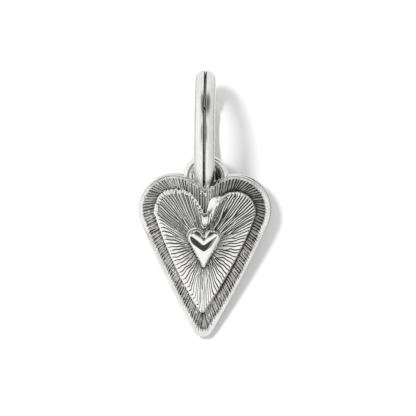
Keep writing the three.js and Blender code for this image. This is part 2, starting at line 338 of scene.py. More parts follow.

# %% [markdown]
# ## Silver
# Every piece is the same metal in a different state: bright on the centre heart, a little hazy on the ring
# and the plates, and dark with oxide in the cuts and the seams. Painted shade darkens the slit and a few
# corners in the same way. So one function makes all the finishes. Haze moves colour and roughness a little,
# oxide and painted shade are dark and rougher, hairlines go into a bump.

# %% Silver recipe
HAIRLINES_PER_METRE = 8000.0
HAZE_PER_METRE = 600.0
GRAIN_PER_METRE = 5000.0
HAIR_FROM, HAIR_FULL = 0.35, 0.65
HAZE_ROUGHNESS = 0.05
MATT_ROUGHNESS = 0.4
HAIR_STRENGTH = 0.35
HAIR_DEPTH = 5e-6


def silver_finish(name, bright, dark, haze, cut, rough, drawn=0.0):
    """Silver that darkens from a shallow to a deep cut. Rough holds its roughness at both ends."""
    material, tree, shader = new_material(name)
    place = add_node(tree, "ShaderNodeTexCoord").outputs["Object"]
    cut_and_shade_depth = add_node(tree, "ShaderNodeAttribute", {"attribute_name": "cut"}).outputs["Fac"]
    unpolished = add_node(tree, "ShaderNodeAttribute", {"attribute_name": "matt"}).outputs["Fac"]
    polish = add_node(
        tree, "ShaderNodeGroup", {"node_tree": marks},
        Coordinates=place, Hairline_Scale=HAIRLINES_PER_METRE, Haze_Scale=HAZE_PER_METRE,
    )
    stain = add_node(
        tree, "ShaderNodeGroup", {"node_tree": oxide},
        Coordinates=place, Cut=cut_and_shade_depth, Shallow=cut[0], Deep=cut[1], Grain_Scale=GRAIN_PER_METRE,
    )
    hazy = [(1 - haze) * c for c in bright]
    silver = mix_colours(tree, polish.outputs["Haze"], (*bright, 1.0), (*hazy, 1.0))
    lines = ramp(tree, polish.outputs["Hairlines"], HAIR_FROM, HAIR_FULL, 1 - drawn, 1.0)
    lined = mix_colours(tree, 1.0, silver, lines, "MULTIPLY")
    colour = mix_colours(tree, stain.outputs["Oxide And Shade"], lined, (*dark, 1.0))
    worn = ramp(tree, stain.outputs["Oxide And Shade"], 0.0, 1.0, *rough)
    softer = multiply_add(tree, polish.outputs["Haze"], HAZE_ROUGHNESS, worn)
    coarse = multiply_add(tree, unpolished, MATT_ROUGHNESS, softer)
    bump = add_node(
        tree, "ShaderNodeBump",
        Strength=HAIR_STRENGTH, Distance=HAIR_DEPTH, Height=polish.outputs["Hairlines"],
    )
    tree.links.new(colour, shader.inputs["Base Color"])
    tree.links.new(coarse, shader.inputs["Roughness"])
    tree.links.new(bump.outputs["Normal"], shader.inputs["Normal"])
    shader.inputs["Metallic"].default_value = 1.0
    return material


# %% Silver finishes
BRIGHT = (0.95, 0.945, 0.935)
SOFT = (0.91, 0.905, 0.89)
OXIDE = (0.075, 0.073, 0.07)
RAY_OXIDE = (0.05, 0.049, 0.047)
# Near black, for the painted shade in the ring's slit and beside the loop.
SHADE_BLACK = (0.012, 0.012, 0.012)
puff_silver = silver_finish("puff_silver", BRIGHT, OXIDE, haze=0.05, cut=(0.2, 0.9), rough=(0.07, 0.4))
ring_silver = silver_finish(
    "ring_silver", BRIGHT, SHADE_BLACK, haze=0.05, cut=(0.1, 0.5), rough=(0.26, 0.4), drawn=0.1
)
loop_silver = silver_finish("loop_silver", BRIGHT, OXIDE, haze=0.12, cut=(0.2, 0.9), rough=(0.24, 0.4))
plate_silver = silver_finish("plate_silver", SOFT, OXIDE, haze=0.14, cut=(0.2, 0.8), rough=(0.2, 0.45))
channel_silver = silver_finish("channel_silver", SOFT, OXIDE, haze=0.08, cut=(0.15, 0.9), rough=(0.18, 0.5))
ray_silver = silver_finish("ray_silver", BRIGHT, RAY_OXIDE, haze=0.04, cut=(0.2, 0.85), rough=(0.17, 0.5))
print("finishes:", [m.name for m in bpy.data.materials if m.name.endswith("_silver")])

# %% [markdown]
# ## From a circle to a loft
# A circle from `create_circle` is a closed loop of as many vertices as we ask for. Every vertex gets a
# column number in a bmesh layer, and extruding the loop copies that number. So each new loop can be laid
# where the shape wants it, column by column, and the faces between come from the operator. Two more layers
# keep how dark the oxide and the painted shade are, `cut`, and where no polishing wheel reached, `matt`.
# The finishes read them.

# %% Loft helpers
def start_loop(bm, places):
    """A closed loop of vertices at these places, each with its column number."""
    column = bm.verts.layers.int.new("column")
    bm.verts.layers.float.new("cut")
    bm.verts.layers.float.new("matt")
    circle = bmesh.ops.create_circle(bm, cap_ends=False, segments=len(places), radius=1.0)
    for number, vert in enumerate(circle["verts"]):
        vert[column] = number
        vert.co = places[number]
    return list(bm.edges)


def next_loop(bm, edges, places, cuts=None, matts=None):
    """Extrude a loop and lay the new one at these places."""
    column = bm.verts.layers.int["column"]
    cut = bm.verts.layers.float["cut"]
    matt = bm.verts.layers.float["matt"]
    made = bmesh.ops.extrude_edge_only(bm, edges=edges)["geom"]
    for vert in (g for g in made if isinstance(g, bmesh.types.BMVert)):
        vert.co = places[vert[column]]
        vert[cut] = 0.0 if cuts is None else cuts[vert[column]]
        vert[matt] = 0.0 if matts is None else matts[vert[column]]
    return [g for g in made if isinstance(g, bmesh.types.BMEdge)]


def close_loop(bm, edges):
    """Fill a loop with one face."""
    bmesh.ops.contextual_create(bm, geom=edges)


def laid(points, depth):
    """Outline points as bench places at one depth, or at a depth for each."""
    x, z = points
    return np.stack([x, np.broadcast_to(depth, x.shape), z], axis=1)


def heart_loop(heart, shares, depth):
    """Bench places of a heart's outline."""
    return laid(heart_points(heart, shares), depth)


print("a loop of four columns:", heart_loop(body_heart, np.arange(4) / 4, 0.0).round(2).tolist())

# %% [markdown]
# ## Easing and zones
# Handwork never changes at once: a rim grows wider over a few millimetres, a stain fades. So most changes
# here ease from 0 to 1 along an S-shaped curve. Two such curves, one up and one down, make a zone.

# %% Easing
def smooth_step(value):
    """Ease from 0 to 1."""
    clipped = np.clip(value, 0.0, 1.0)
    return clipped * clipped * (3 - 2 * clipped)


def beyond(value, start, rise):
    """Ease in, from 0 to 1, over a rise after start."""
    return smooth_step((value - start) / rise)


def up_to(value, stop, fall):
    """Ease out, from 1 to 0, over a fall before stop."""
    return smooth_step((stop - value) / fall)


def between(value, start, rise, stop, fall):
    """A zone that eases in after start and out before stop."""
    return beyond(value, start, rise) * up_to(value, stop, fall)


print("a quarter of the way is eased to", round(float(smooth_step(0.25)), 3))

# %% [markdown]
# ## From the bench to the frame
# A finished bench mesh is scaled to metres and moved to its place, so that its object can stay at the
# origin, as the CAD nodes do. Then it is told which body it rides on and which plain solid it replaces.

# %% Finished pieces
def to_object(bm, name, material):
    """Make an object with one material from a bmesh, which is freed."""
    mesh = bpy.data.meshes.new(name)
    bm.to_mesh(mesh)
    bm.free()
    mesh.materials.append(material)
    made = bpy.data.objects.new(name, mesh)
    bpy.context.scene.collection.objects.link(made)
    return made


def to_piece(bm, name, body, node, material, place=bench_place):
    """Put a bench mesh in its place in the frame and make it stand for a CAD node."""
    bmesh.ops.recalc_face_normals(bm, faces=bm.faces)
    bmesh.ops.scale(bm, vec=(MM, MM, MM), verts=bm.verts)
    bmesh.ops.translate(bm, vec=place, verts=bm.verts)
    piece = to_object(bm, name, material)
    piece.data.shade_smooth()
    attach(piece, body)
    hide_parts(node)
    print(name, "has", sum(len(p.vertices) - 2 for p in piece.data.polygons), "triangles")


# %% [markdown]
# ## Strokes of a graver
# The pattern was cut by hand, stroke by stroke, so no two strokes are alike: they sway a little, stop at
# different lengths, and where the space gets narrow some run into a neighbour. A stroke is described by
# where it lies on the outline and how far it reaches. Its lean makes the side that comes first, going
# clockwise, the gentler one. A grid of columns and rows then gets the depth of the deepest stroke at each
# point, from 0 for uncut silver to 1.

# %% Course of a stroke
Stroke = namedtuple("Stroke", "share sway phase start stop half_width depth joins lean tooth")
EASE_IN = 0.06
EASE_OUT = 0.08
JOIN_REACH = 0.3
SLOW_WAVE = 6.0
QUICK_WAVE = 15.0
QUICK_SWAY = 0.5
QUICK_PHASE = 2.3


def stroke_ease(stroke, along):
    """How much of its depth a stroke has at a row, easing in at its start and out at its stop."""
    return smooth_step((along - stroke.start) / EASE_IN + 1) * smooth_step((stroke.stop - along) / EASE_OUT)


def stroke_centre(stroke, along, spread):
    """The share where a stroke runs at a row: it sways, and may bend to a neighbour before it stops."""
    bend = smooth_step((along - stroke.stop + JOIN_REACH) / JOIN_REACH) * stroke.joins
    wave = math.sin(SLOW_WAVE * along + stroke.phase)
    wave = wave + QUICK_SWAY * math.sin(QUICK_WAVE * along + QUICK_PHASE * stroke.phase)
    return stroke.share + stroke.sway * wave / spread + bend


print("a stroke has", len(Stroke._fields), "values:", ", ".join(Stroke._fields))

# %% Depths of the strokes
NARROWING = 0.6
STEEPER = 0.5


def spread_of(places):
    """Millimetres along a loop per share of the way round, at each of its columns."""
    step = np.roll(places, -1, axis=0) - np.roll(places, 1, axis=0)
    return np.maximum(np.linalg.norm(step, axis=1) * len(places) / 2, 1.0)


def stroke_depths(strokes, rows, loops):
    """Cut depth for each row and column of a grid. Loops are the rows' places."""
    count = len(loops[0])
    cuts = np.zeros((len(rows), count))
    spreads = [spread_of(places) for places in loops]
    for row, along in enumerate(rows):
        for stroke in strokes:
            ease = stroke_ease(stroke, along)
            if ease <= 0:
                continue
            spot = int(stroke.share * count) % count
            spread = spreads[row][spot]
            centre = stroke_centre(stroke, along, spread)
            reach = stroke.half_width * (spread / spreads[0][spot]) ** NARROWING / spread
            before = reach * (1 + stroke.lean)
            after = reach * (1 - STEEPER * stroke.lean)
            first, last = math.ceil((centre - before) * count), math.floor((centre + after) * count)
            columns = np.arange(first, last + 1)
            off = columns / count - centre
            off = np.abs(np.where(off < 0, off / before, off / after))
            cut = (1 - off ** 2) * (1 - stroke.lean) + (1 - off) * stroke.lean
            hit = columns % count
            cuts[row, hit] = np.maximum(cuts[row, hit], ease * stroke.depth * cut)
    return cuts


# %% [markdown]
# ## The base
# The base is the front plate of the heart: a smooth rim left standing round a sunk channel. The channel is
# filled with short strokes that run nearly square to the outline and lean a little along it. A bump map
# could fake them, but it leaves the rim's edge smooth. So the strokes are real cuts in a dense loft, which
# goes up the wall, round the edge, over the rim, down into the channel and on under the inner heart.

# %% Base strokes
COLUMNS = 1680
CHANNEL_STROKES = 140
WHOLE_STROKES = 0.7
PAST_THE_END = 1.3
shares = np.arange(COLUMNS) / COLUMNS
half_way = np.minimum(shares, 1 - shares)
chance = np.random.default_rng(11)
rim_strokes = [
    Stroke(
        share=(i + chance.uniform(-0.15, 0.15)) / CHANNEL_STROKES,
        sway=chance.uniform(0.0, 0.03),
        phase=chance.uniform(0, math.tau),
        start=-0.1,
        stop=PAST_THE_END if chance.random() < WHOLE_STROKES else chance.uniform(0.6, 0.95),
        half_width=chance.uniform(0.115, 0.145),
        depth=chance.uniform(0.6, 0.95),
        joins=chance.uniform(-0.0012, 0.0012),
        lean=0.0,
        tooth=chance.uniform(0.0, 1.0),
    )
    for i in range(CHANNEL_STROKES)
]
print("channel strokes:", len(rim_strokes))

# %% Channel grid
EDGE_ROUND = 0.14
UNDER_TIER = 0.25
STROKE_LEAN = 0.018
LEAN_FROM, LEAN_SPAN = 0.03, 0.2
CHANNEL_ROWS = 30
channel_rows = np.linspace(0.0, 1.0, CHANNEL_ROWS)
floor_heart = inset(body_heart, EDGE_ROUND)
tier_foot = inset(tier_heart, UNDER_TIER)
leaning = np.sin(math.pi * np.clip((half_way - LEAN_FROM) / LEAN_SPAN, 0, 1))
opposite = np.interp(half_way, landmarks(floor_heart), landmarks(tier_foot)) - STROKE_LEAN * leaning
outer = heart_loop(floor_heart, shares, 0.0)
inner = heart_loop(tier_foot, np.where(shares > 0.5, 1 - opposite, opposite), 0.0)
channel_loops = [outer + (inner - outer) * along for along in channel_rows]
channel_cuts = stroke_depths(rim_strokes, channel_rows, channel_loops)
print("mean cut in the channel:", round(float(channel_cuts.mean()), 2))

# %% [markdown]
# ## Zones and the rim
# The rim wasn't filed evenly. It is narrow at the top and on the right flank, and it falls away most at the
# upper left. Strokes slip over it by a tooth here and there, and between two strokes a prong of it is left
# standing. Zones along the outline say where such things happen, by share, clockwise from the notch.

# %% Zones of the outline
on_flank = beyond(half_way, start=0.2, rise=0.06)
below_lobe = beyond(half_way, start=0.1, rise=0.13)
under_loop = up_to(half_way, stop=0.05, fall=0.03)
at_notch = up_to(half_way, stop=0.04, fall=0.02)
upper_right = between(shares, start=0.02, rise=0.03, stop=0.46, fall=0.3)
right_lobe = between(shares, start=0.1, rise=0.05, stop=0.3, fall=0.08)
right_flank = between(shares, start=0.22, rise=0.05, stop=0.47, fall=0.07)
left_flank = between(shares, start=0.5, rise=0.04, stop=0.78, fall=0.04)
upper_left = between(shares, start=0.74, rise=0.06, stop=0.9, fall=0.05)
left_lobe = between(shares, start=0.78, rise=0.03, stop=0.94, fall=0.02)
print("share of the outline on the left lobe:", round(float(left_lobe.mean()), 2))

# %% Rim
RIM_TOP = 0.40
RIM_FLANK = 0.60
RIGHT_NARROWER = 0.15
RIM_SLOPE = 0.35
LEFT_SLOPE = 0.2
FLANK_SLOPE = 0.15
TOOTH = 0.13
LOOP_TEETH = 1.5
PRONG_TOP, PRONG_FLANK = 0.12, 0.34
rim_width = RIM_TOP + (RIM_FLANK - RIM_TOP) * below_lobe - RIGHT_NARROWER * right_flank
rim_slope = RIM_SLOPE + LEFT_SLOPE * upper_left
rim_slope = rim_slope - (RIM_SLOPE - FLANK_SLOPE) * on_flank * (1 - upper_left)
rim_tilt = rim_slope * (rim_width - EDGE_ROUND)
stroke_teeth = np.array([stroke.tooth for stroke in rim_strokes])
nearest_stroke = np.floor(shares * CHANNEL_STROKES + 0.5).astype(int) % CHANNEL_STROKES
teeth = TOOTH * stroke_teeth[nearest_stroke] * (1 + LOOP_TEETH * under_loop)
between_strokes = shares * CHANNEL_STROKES - 0.5
prongs = np.interp(between_strokes, np.arange(CHANNEL_STROKES), stroke_teeth[::-1], period=CHANNEL_STROKES)
prongs = prongs * (PRONG_TOP + PRONG_FLANK * on_flank)
print("rim width in mm:", round(float(rim_width.min()), 2), "to", round(float(rim_width.max()), 2))

# %% Channel rows
SOLDER_SEAM = 0.02
CHANNEL_DEPTH = tier_back + SOLDER_SEAM
STROKE_DEPTH = 0.09
STROKE_MEAN = 0.5
SLOPE_WIDTH = 0.14
TOOTH_SOFT = 0.05
FLOOR_STAIN, UPPER_RIGHT_DARKER, LOBE_STAIN = 0.1, 0.32, 0.1
CORNER_OXIDE_AND_SHADE, FLANK_SHADOW = 0.3, 0.4
CORNER_FROM, CORNER_SPAN = 0.62, 0.22
STROKE_STAIN, LOBE_PALER = 0.87, 0.22


def channel_row(along, cuts):
    """Depth, and stain with painted shade, of one row between the rim's edge and the inner heart's foot."""
    way = EDGE_ROUND + along * (floor_heart.lobe_radius - tier_foot.lobe_radius)
    inside = way - rim_width - prongs * (1 - cuts)
    sunk = smooth_step((inside + SLOPE_WIDTH / 2) / SLOPE_WIDTH)
    scratched = smooth_step((way - rim_width + teeth) / TOOTH_SOFT)
    tilted = rim_tilt * np.clip((rim_width - way) / (rim_width - EDGE_ROUND), 0, 1)
    depth = tilted + CHANNEL_DEPTH * sunk + STROKE_DEPTH * (cuts * scratched - STROKE_MEAN * sunk)
    # The corner at the inner heart's foot gets oxide and painted shade, and along the right flank a painted
    # shadow of the inner heart's edge.
    corner = (CORNER_OXIDE_AND_SHADE + FLANK_SHADOW * right_flank) * beyond(along, CORNER_FROM, CORNER_SPAN)
    # The channel floor is also darker towards the upper right.
    stain = (FLOOR_STAIN + UPPER_RIGHT_DARKER * upper_right + LOBE_STAIN * right_lobe + corner) * sunk
    stain = stain + (STROKE_STAIN - LOBE_PALER * right_lobe) * cuts * scratched
    return depth, np.clip(stain, 0, 1)


print("channel depth in mm:", round(CHANNEL_DEPTH, 2))

# %% Base mesh
SEAM_ROUND = 0.07
SEAM_STEPS = ((0.0, 1.0), (0.4, 0.9), (1.0, 0.0))
EDGE_STEPS = 6
bm = bmesh.new()
loop = start_loop(bm, heart_loop(inset(body_heart, SEAM_ROUND), shares, base_back))
close_loop(bm, loop)
for away, stain in SEAM_STEPS:
    seam = inset(body_heart, SEAM_ROUND * (1 - away) ** 2)
    places = heart_loop(seam, shares, base_back - SEAM_ROUND * away)
    loop = next_loop(bm, loop, places, np.full(COLUMNS, stain))
for step in range(EDGE_STEPS):
    angle = step / EDGE_STEPS * math.pi / 2
    rounded = inset(body_heart, EDGE_ROUND * (1 - math.cos(angle)))
    depth = rim_tilt + EDGE_ROUND * (1 - math.sin(angle))
    loop = next_loop(bm, loop, heart_loop(rounded, shares, depth))
for along, places, cuts in zip(channel_rows, channel_loops, channel_cuts):
    places[:, 1], stain = channel_row(along, cuts)
    loop = next_loop(bm, loop, places, stain)
close_loop(bm, loop)
to_piece(bm, "engraved_base", "heart", "heart_base", channel_silver)

# %% [markdown]
# ## The back plate
# Nothing of the back shows in the photograph, so it is a plain flat plate with softened edges, soldered
# behind the base. It sits a hair to the right of the base, where its edge shows beside the right lobe. A
# bevel modifier would round it too, but the loft also darkens the seam. A thin ring just inside the edge
# keeps the flat back flat under smooth shading.

# %% Back plate
BACK_COLUMNS = 480
PLATE_ROUND = 0.16
PLATE_FLAT = 0.1
PLATE_SHIFT = 0.13
ROUND_STEPS = 6
back_shares = np.arange(BACK_COLUMNS) / BACK_COLUMNS
bm = bmesh.new()
loop = start_loop(bm, heart_loop(inset(body_heart, SEAM_ROUND), back_shares, plate_front))
close_loop(bm, loop)
for step in range(ROUND_STEPS):
    turned = step / (ROUND_STEPS - 1)
    angle = turned * math.pi / 2
    seam = inset(body_heart, SEAM_ROUND * (1 - math.sin(angle)))
    places = heart_loop(seam, back_shares, plate_front + SEAM_ROUND * (1 - math.cos(angle)))
    loop = next_loop(bm, loop, places, np.full(BACK_COLUMNS, 1 - turned))
for step in range(ROUND_STEPS):
    angle = step / (ROUND_STEPS - 1) * math.pi / 2
    rounded = inset(body_heart, PLATE_ROUND * (1 - math.cos(angle)))
    depth = plate_back - PLATE_ROUND * (1 - math.sin(angle))
    loop = next_loop(bm, loop, heart_loop(rounded, back_shares, depth))
loop = next_loop(bm, loop, heart_loop(inset(body_heart, PLATE_ROUND + PLATE_FLAT), back_shares, plate_back))
close_loop(bm, loop)
bmesh.ops.translate(bm, vec=(PLATE_SHIFT, 0, 0), verts=bm.verts)
to_piece(bm, "flat_back", "heart", "back_plate", plate_silver)

# %% [markdown]
# ## The rays of the inner heart
# The inner heart is the piece that makes the charm: it stands on the channel floor, its top swells gently
# towards the middle, and fine wavy rays run from its edge to the heart at the centre. They are spread by
# hand, not evenly: wide by the notch and on the lobes, close and fine on the flanks. Every second ray stops
# on its way, and about half of those bend into a neighbour, because there is less room near the centre.

# %% Ray places
NOTCH_RAYS = 7
LOBE_RAYS = 15
FLANK_RAYS = 26
NOTCH_SHARE = 0.09
_, lobe_top_share, flank_share, _, _ = landmarks(tier_heart)
ray_counts = np.cumsum([0, NOTCH_RAYS, LOBE_RAYS, FLANK_RAYS])
half_rays = np.interp(np.arange(ray_counts[-1]) + 0.5, ray_counts, [0, NOTCH_SHARE, flank_share, 0.5])
ray_shares = np.concatenate([half_rays, 1 - half_rays[::-1]])
ray_steps = np.gradient(ray_shares)
print("rays:", len(ray_shares), "and the right lobe ends at share", round(float(flank_share), 3))

# %% Ray kinds
NOTCH_WIDTH, LOBE_WIDTH, FLANK_WIDTH = (0.11, 0.13), (0.115, 0.13), (0.09, 0.115)
LEFT_SHIFT = 0.04
PATCH_FROM = 0.012
PATCH_START, EDGE_START = (0.06, 0.16), (-0.3, 0.03)
WEDGE_SHARE = 0.055
WEDGE_LEAN, RIGHT_LEAN, LEFT_LEAN = -0.7, 1.0, 0.55


def ray_width(share):
    """Range of half widths: wide by the notch and on the lobes, finer on the flanks."""
    half_share = share if share < 0.5 else 1 + LEFT_SHIFT - share
    if half_share < NOTCH_SHARE:
        return NOTCH_WIDTH
    return LOBE_WIDTH if half_share < flank_share else FLANK_WIDTH


def ray_start(share):
    """Range of starts: inside the bright patch right of the notch, else at the edge or before it."""
    return PATCH_START if PATCH_FROM < share < NOTCH_SHARE else EDGE_START


def ray_lean(share):
    """Which side of a ray is gentle: the right one beside the notch, the left one on the lobes."""
    if share < NOTCH_SHARE:
        return WEDGE_LEAN if share < WEDGE_SHARE else 0.0
    if share < flank_share:
        return RIGHT_LEAN
    return LEFT_LEAN if share > 1 - flank_share else 0.0


print("half widths of rays in mm:", {share: ray_width(share) for share in (0.05, 0.15, 0.35)})

# %% Rays
STOPS_FREE = 0.5
PAST_THE_SEAT = 1.4
PHASE_STEP = 0.45
LOBE_SWAY, FLANK_SWAY = (0.03, 0.05), (0.05, 0.08)
LOBE_DEPTH, FLANK_DEPTH = (0.8, 1.0), (0.65, 0.9)
TIP_SHARE = 0.015
TIP_EASE = 0.6
chance = np.random.default_rng(23)
rays = []
for i, (share, step) in enumerate(zip(ray_shares, ray_steps)):
    runs_on = i % 2 == 0
    on_lobe = min(share, 1 - share) < flank_share
    sway, depth = (LOBE_SWAY, LOBE_DEPTH) if on_lobe else (FLANK_SWAY, FLANK_DEPTH)
    tip_ease = 1.0 if abs(share - 0.5) > TIP_SHARE else TIP_EASE
    meets = 0.0 if runs_on or chance.random() < STOPS_FREE else chance.choice((-1.0, 1.0)) * step
    rays.append(
        Stroke(
            share=share + chance.uniform(-0.1, 0.1) * step,
            sway=chance.uniform(*sway),
            phase=PHASE_STEP * i + chance.uniform(-0.4, 0.4),
            start=chance.uniform(*ray_start(share)),
            stop=PAST_THE_SEAT if runs_on else chance.uniform(0.6, 1.05),
            half_width=chance.uniform(*ray_width(share)),
            depth=chance.uniform(*depth) * tip_ease,
            joins=meets * chance.uniform(0.6, 1.0),
            lean=ray_lean(share),
            tooth=chance.uniform(0.0, 1.0),
        )
    )
print("rays that reach the centre:", sum(ray.stop == PAST_THE_SEAT for ray in rays))

# %% [markdown]
# ## The edge of the inner heart
# The edge was bevelled by hand. The bevel is ragged, because each ray breaks into it, and right of the notch
# it widens into a bright patch. The whole heart was soldered on a hair turned, and its left lobe is
# fuller. An even bevel from the operator would lose all this, so the outer border and the top of the
# bevel are two outlines, each with a point for every column. A dozen places along the edge say how wide
# and how steep the bevel is, and the rest lies between them.

# %% Bevel
EDGE_SHARES = [0.0, 0.03, 0.08, 0.12, 0.16, 0.44, 0.56, 0.75, 0.80, 0.85, 0.89, 0.94, 1.0]
EDGE_WIDTHS = [0.35, 0.65, 0.95, 0.5, 0.18, 0.18, 0.45, 0.45, 0.4, 0.55, 0.45, 0.3, 0.38]
EDGE_SLOPES = [0.15, 0.48, 0.36, 0.33, 1.5, 1.5, 0.36, 0.36, 0.55, 0.48, 0.33, 0.45, 0.15]
RAGGED_SHARES = [0.0, 0.12, 0.16, 0.74, 0.82, 0.92, 1.0]
RAGGED_REACH = [0.1, 0.1, 0.15, 0.15, 0.25, 0.3, 0.45]
RAGGED_LEAST = 0.3
BEVEL_CHANGE = 0.5
bevel = np.interp(shares, EDGE_SHARES, EDGE_WIDTHS)
bevel_slope = np.interp(shares, EDGE_SHARES, EDGE_SLOPES)
ray_teeth = np.array([ray.tooth for ray in rays])
nearest_ray = np.abs(shares[:, None] - np.array([ray.share for ray in rays])).argmin(axis=1)
raggedness = np.interp(shares, RAGGED_SHARES, RAGGED_REACH) * (RAGGED_LEAST + ray_teeth[nearest_ray])
uneven_ends = np.interp(shares, ray_shares, ray_teeth, period=1.0) - 0.5
ragged_bevel = bevel * (1 + BEVEL_CHANGE * uneven_ends)
print("bevel in mm:", round(float(ragged_bevel.min()), 2), "to", round(float(ragged_bevel.max()), 2))

# %% Outer border
RAY_CENTRE = 11.2
TIER_TURN = math.radians(1.2)
LEFT_FULLNESS = 0.45
FULL_SHARE = 0.12
FULL_ROUND = 1.2
PATCH_EDGE = np.array(
    [(0.0, 15.03), (0.28, 15.24), (0.42, 16.0), (0.54, 16.5), (0.82, 16.87), (1.18, 17.07)]
    + [(1.78, 17.25), (2.37, 17.5), (2.97, 17.7), (3.77, 17.76)]
)
tier_x, tier_z = heart_points(tier_heart, shares)
turned = cmath.exp(-1j * TIER_TURN) * (tier_x + 1j * (tier_z - RAY_CENTRE))
fuller = (shares > 0.5) * np.sin(math.pi * np.clip(half_way / FULL_SHARE, 0, 1)) ** FULL_ROUND
tier_x, tier_z = turned.real + LEFT_FULLNESS * fuller, turned.imag + RAY_CENTRE
by_notch = shares < lobe_top_share
patch_way = np.concatenate([[0.0], np.cumsum(np.hypot(*np.diff(PATCH_EDGE, axis=0).T))])
patch_way = patch_way / patch_way[-1] * lobe_top_share


def along_patch(points):
    """X and Z of the patch's border or foot at the columns by the notch."""
    return [np.interp(shares[by_notch], patch_way, points[:, axis]) for axis in (0, 1)]


tier_x[by_notch], tier_z[by_notch] = along_patch(PATCH_EDGE)
print("columns along the patch:", int(by_notch.sum()))

# %% Top of the bevel
PATCH_FOOT = np.array(
    [(0.0, 14.65), (0.62, 14.85), (0.98, 15.35), (1.26, 15.8), (1.52, 16.22), (1.78, 16.6)]
    + [(2.17, 16.93), (2.63, 17.2), (3.1, 17.43), (3.76, 17.55)]
)
PATCH_CHANGE = 0.12
NEARBY = 4
ahead_x = np.roll(tier_x, -NEARBY) - np.roll(tier_x, NEARBY)
ahead_z = np.roll(tier_z, -NEARBY) - np.roll(tier_z, NEARBY)
stride = np.hypot(ahead_x, ahead_z)
inward_x, inward_z = ahead_z / stride, -ahead_x / stride
edge_x, edge_z = tier_x + inward_x * ragged_bevel, tier_z + inward_z * ragged_bevel
foot_x, foot_z = along_patch(PATCH_FOOT)
patch_ragged = 1 + PATCH_CHANGE * uneven_ends[by_notch]
edge_x[by_notch] = tier_x[by_notch] + (foot_x - tier_x[by_notch]) * patch_ragged
edge_z[by_notch] = tier_z[by_notch] + (foot_z - tier_z[by_notch]) * patch_ragged
patch_width = np.hypot(edge_x - tier_x, edge_z - tier_z)
bevel_rise = bevel_slope * np.where(by_notch, patch_width, bevel)
print("bevel rises by up to", round(float(bevel_rise.max()), 2), "mm")

# %% Spikes on the left lobe
EDGE_SPIKE = 0.22
SPIKES = 150
spike_lengths = chance.uniform(-0.3, 1.0, SPIKES)
spikes = np.interp(shares * SPIKES, np.arange(SPIKES), spike_lengths, period=SPIKES)
spikes = EDGE_SPIKE * left_lobe * spikes
tier_x, tier_z = tier_x - inward_x * spikes, tier_z - inward_z * spikes
print("longest spike in mm:", round(float(spikes.max()), 2))

# %% [markdown]
# ## Cutting the rays
# A grid spans the top, from the bevel to a seat round the centre heart. Each column aims at the middle of
# the rays, so the cuts radiate. A bump map would look flat from the side, so the rays are real cuts, and
# light breaks on their sides. The oxide in them is a second grid of the same strokes, a little wider or
# narrower than the cuts.

# %% Ray grid
SEAT_GAP = 0.14
SEAT_SAMPLES = 4000
EDGE_BAND = 0.12
BAND_ROWS, TOP_ROWS = 8, 36
band_rows = np.linspace(0.0, EDGE_BAND, BAND_ROWS)[:-1]
ray_rows = np.concatenate([band_rows, np.linspace(EDGE_BAND, 1.0, TOP_ROWS)])
seat_heart = inset(centre_heart, -SEAT_GAP)
dense = np.linspace(0.0, 1.0, SEAT_SAMPLES, endpoint=False)
seat_x, seat_z = heart_points(seat_heart, dense)
seat_bearing = np.unwrap(np.arctan2(seat_x, seat_z - RAY_CENTRE))
edge_bearing = np.unwrap(np.arctan2(edge_x, edge_z - RAY_CENTRE))
seat_share = np.interp(edge_bearing, seat_bearing, dense, period=math.tau)
edge = laid((edge_x, edge_z), 0.0)
seat = heart_loop(seat_heart, seat_share, 0.0)
ray_loops = [edge + (seat - edge) * along for along in ray_rows]
ray_cuts = stroke_depths(rays, ray_rows, ray_loops)
print("mean cut of the rays:", round(float(ray_cuts.mean()), 2))

# %% Ray stains
NEAR_TIP = 0.06
AT_TIP_STAIN, NEAR_TIP_STAIN = 0.35, 0.6
NOTCH_STAIN, RIGHT_STAIN = 1.0, 1.1
FLANK_STAIN, LEFT_STAIN = 1.05, 0.86


def stain_share(share):
    """Width of the oxide as a share of the cut: most on the right lobe, least at the tip."""
    from_tip = abs(share - 0.5)
    if from_tip < NEAR_TIP:
        return AT_TIP_STAIN if from_tip < TIP_SHARE else NEAR_TIP_STAIN
    if share < flank_share:
        return NOTCH_STAIN if share < NOTCH_SHARE else RIGHT_STAIN
    return FLANK_STAIN if share < 1 - flank_share else LEFT_STAIN


stained = [
    ray._replace(lean=0.0, depth=1.0, half_width=stain_share(ray.share) * ray.half_width) for ray in rays
]
ray_stains = stroke_depths(stained, ray_rows, ray_loops)
print("mean stain of the rays:", round(float(ray_stains.mean()), 2))

# %% Inner heart rows
RAY_DEPTH = 0.085
TIER_WALL = 0.55
BEVEL_ROUND, BEVEL_FLAT = 0.2, 0.8
BEVEL_STEPS = 9
LEFT_HIGHLIGHT, PLAIN_DARKER = 0.4, 0.8
SEAT_OXIDE_AND_SHADOW, SEAT_FROM, SEAT_SPAN = 0.25, 0.955, 0.03
SIDE_DARKER, SIDE_PALER = 0.38, 0.3
SIDE_FROM, SIDE_SPAN = -0.15, 0.8
SIDE_LOW, SIDE_HIGH, SIDE_SOFT = 7.4, 12.5, 1.5
tier_edge = tier_back - TIER_WALL
edge_cut = ray_cuts[0]
# Oxide on the bevel fades towards its top. On the left lobe it fades sooner, as a painted highlight, and on
# the left flank and at the notch it stays darker.
bevel_polish_and_highlight = 1 + LEFT_HIGHLIGHT * left_lobe - PLAIN_DARKER * np.maximum(left_flank, at_notch)


